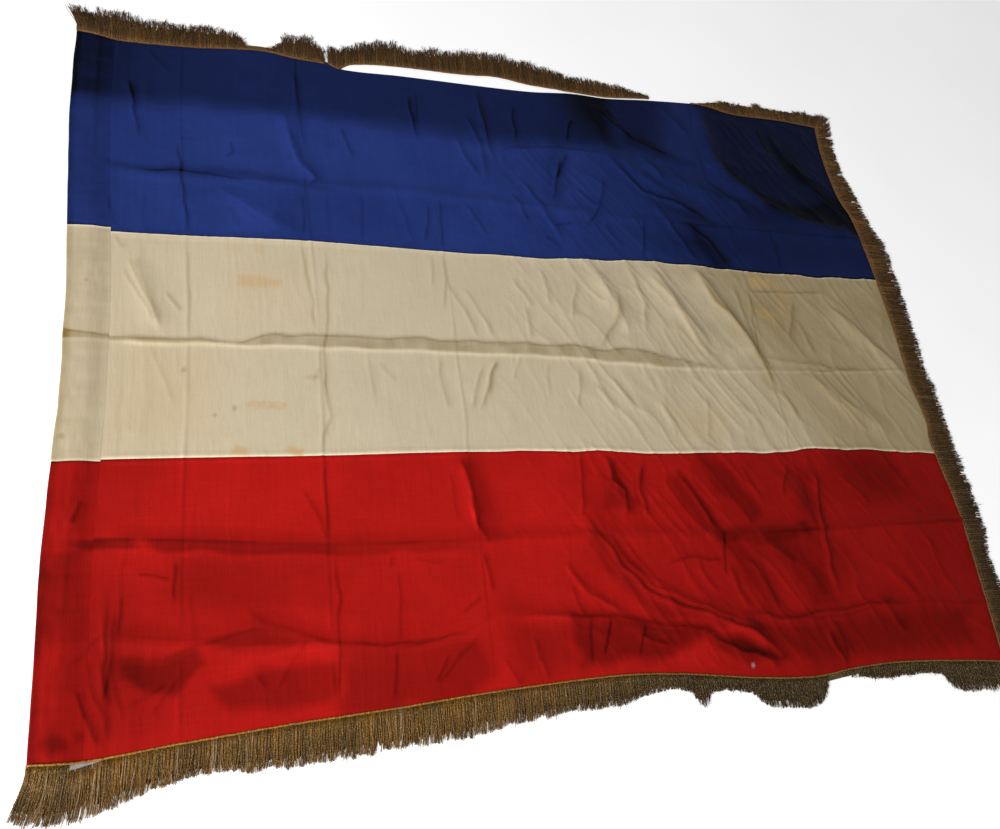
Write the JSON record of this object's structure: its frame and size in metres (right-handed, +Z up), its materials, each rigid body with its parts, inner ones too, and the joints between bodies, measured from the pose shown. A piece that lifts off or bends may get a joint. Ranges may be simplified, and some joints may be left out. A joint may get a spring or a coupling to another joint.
{
  "type": "tattered fringed flag",
  "caption": "Worn banded satin flag laid out flat, with storage creases, a pole sleeve along the hoist and a tarnished gold fringe that is partly torn off.",
  "frame": {"origin": "on the surface, under the middle of the flag's outer box, fringe included", "axes": "+X from the hoist (pole sleeve) to the fly, +Y from the red band to the blue band, +Z up, out of the flag's front"},
  "size_m": [1.623, 1.3538, 0.0124],
  "materials": {
    "blue_satin": "satin, creased",
    "cream_satin": "satin, creased and stained",
    "red_satin": "satin, creased",
    "gold_fringe": "tarnished metal thread"
  },
  "bodies": {
    "root": {"band_red": "red_satin", "band_white": "cream_satin", "band_blue": "blue_satin", "fringe_top_sleeve": "gold_fringe", "fringe_bottom_sleeve": "gold_fringe", "fringe_top_hoist": "gold_fringe", "fringe_top_loose": "gold_fringe", "fringe_top_fly": "gold_fringe", "fringe_fly": "gold_fringe", "fringe_bottom": "gold_fringe"}
  },
  "joints": []
}
